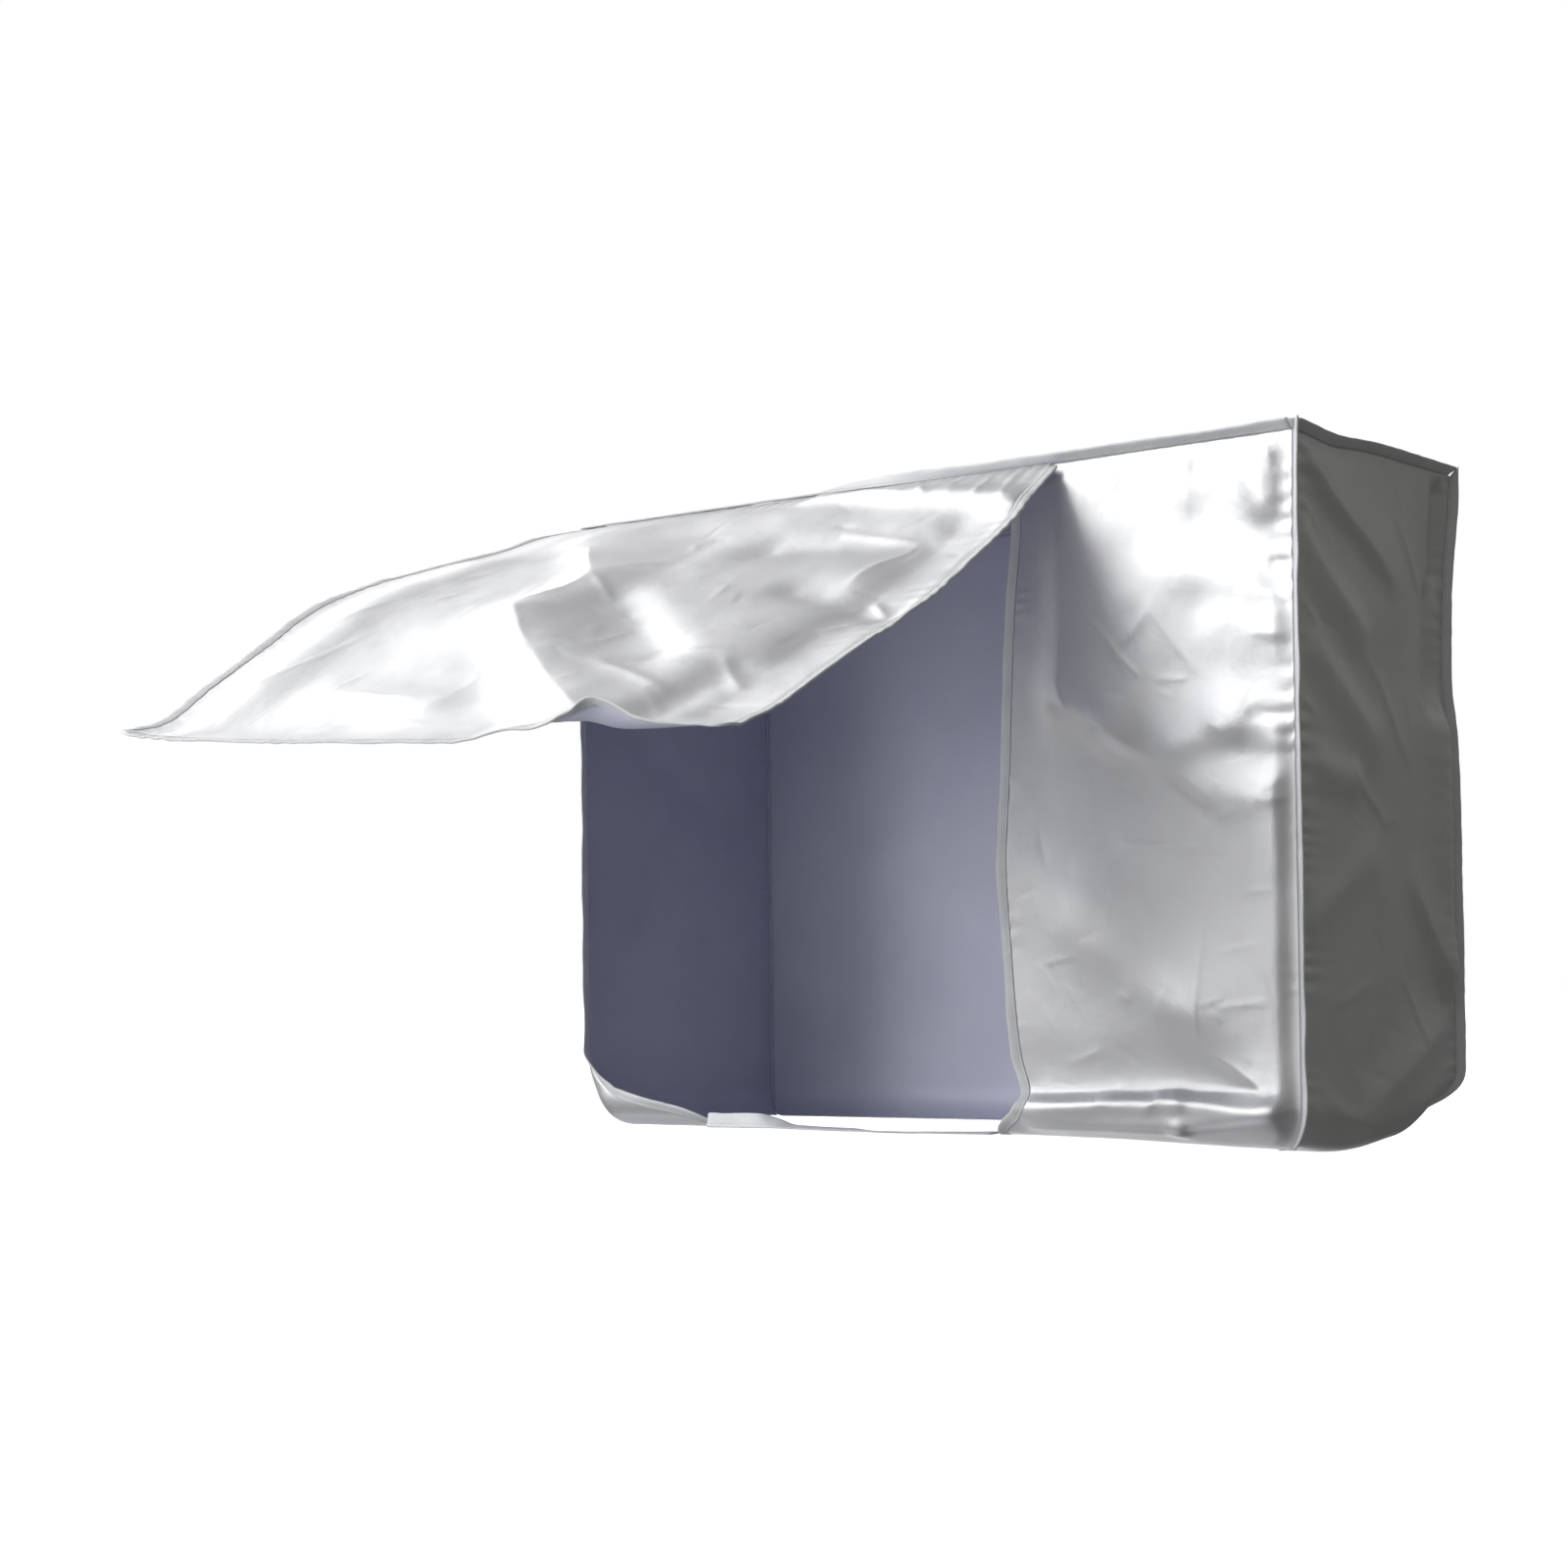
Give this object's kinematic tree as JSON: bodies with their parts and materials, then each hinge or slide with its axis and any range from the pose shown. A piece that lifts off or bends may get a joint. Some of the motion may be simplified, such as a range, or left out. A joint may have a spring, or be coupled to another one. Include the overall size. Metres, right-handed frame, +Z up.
{
  "type": "air conditioner cover",
  "caption": "Fitted cloth cover for an outdoor unit: a hollow box of panels open below and at the front left, with bound seams and a lifted front flap.",
  "frame": {"origin": "middle of the top panel, where the cover lies on the unit's top", "axes": "+Z up, -Y the front with the lifted flap, +X the cover's right side as its front is seen"},
  "size_m": [0.917, 0.9261, 0.6658],
  "materials": {
    "top_panel": "woven cloth with a silver coating, satin",
    "front_panel": "woven cloth with a silver coating, satin",
    "right_side_panel": "woven cloth with a silver coating, satin",
    "left_side_panel": "woven cloth with a silver coating, satin",
    "back_panel": "woven cloth with a silver coating, satin",
    "front_flap": "woven cloth with a silver coating, satin",
    "top_binding": "folded woven tape, pale silver",
    "front_right_binding": "folded woven tape, pale silver",
    "back_right_binding": "folded woven tape, pale silver",
    "back_left_binding": "folded woven tape, pale silver",
    "front_panel_edge_binding": "folded woven tape, pale silver",
    "left_panel_edge_binding": "folded woven tape, pale silver",
    "flap_binding": "folded woven tape, pale silver",
    "hem_tape": "flat woven tape, pale silver"
  },
  "bodies": {
    "root": {"top_panel": "top_panel", "front_panel": "front_panel", "right_side_panel": "right_side_panel", "left_side_panel": "left_side_panel", "back_panel": "back_panel", "front_flap": "front_flap", "top_binding": "top_binding", "front_right_binding": "front_right_binding", "back_right_binding": "back_right_binding", "back_left_binding": "back_left_binding", "front_panel_edge_binding": "front_panel_edge_binding", "left_panel_edge_binding": "left_panel_edge_binding", "flap_binding": "flap_binding", "hem_tape": "hem_tape"}
  },
  "joints": []
}
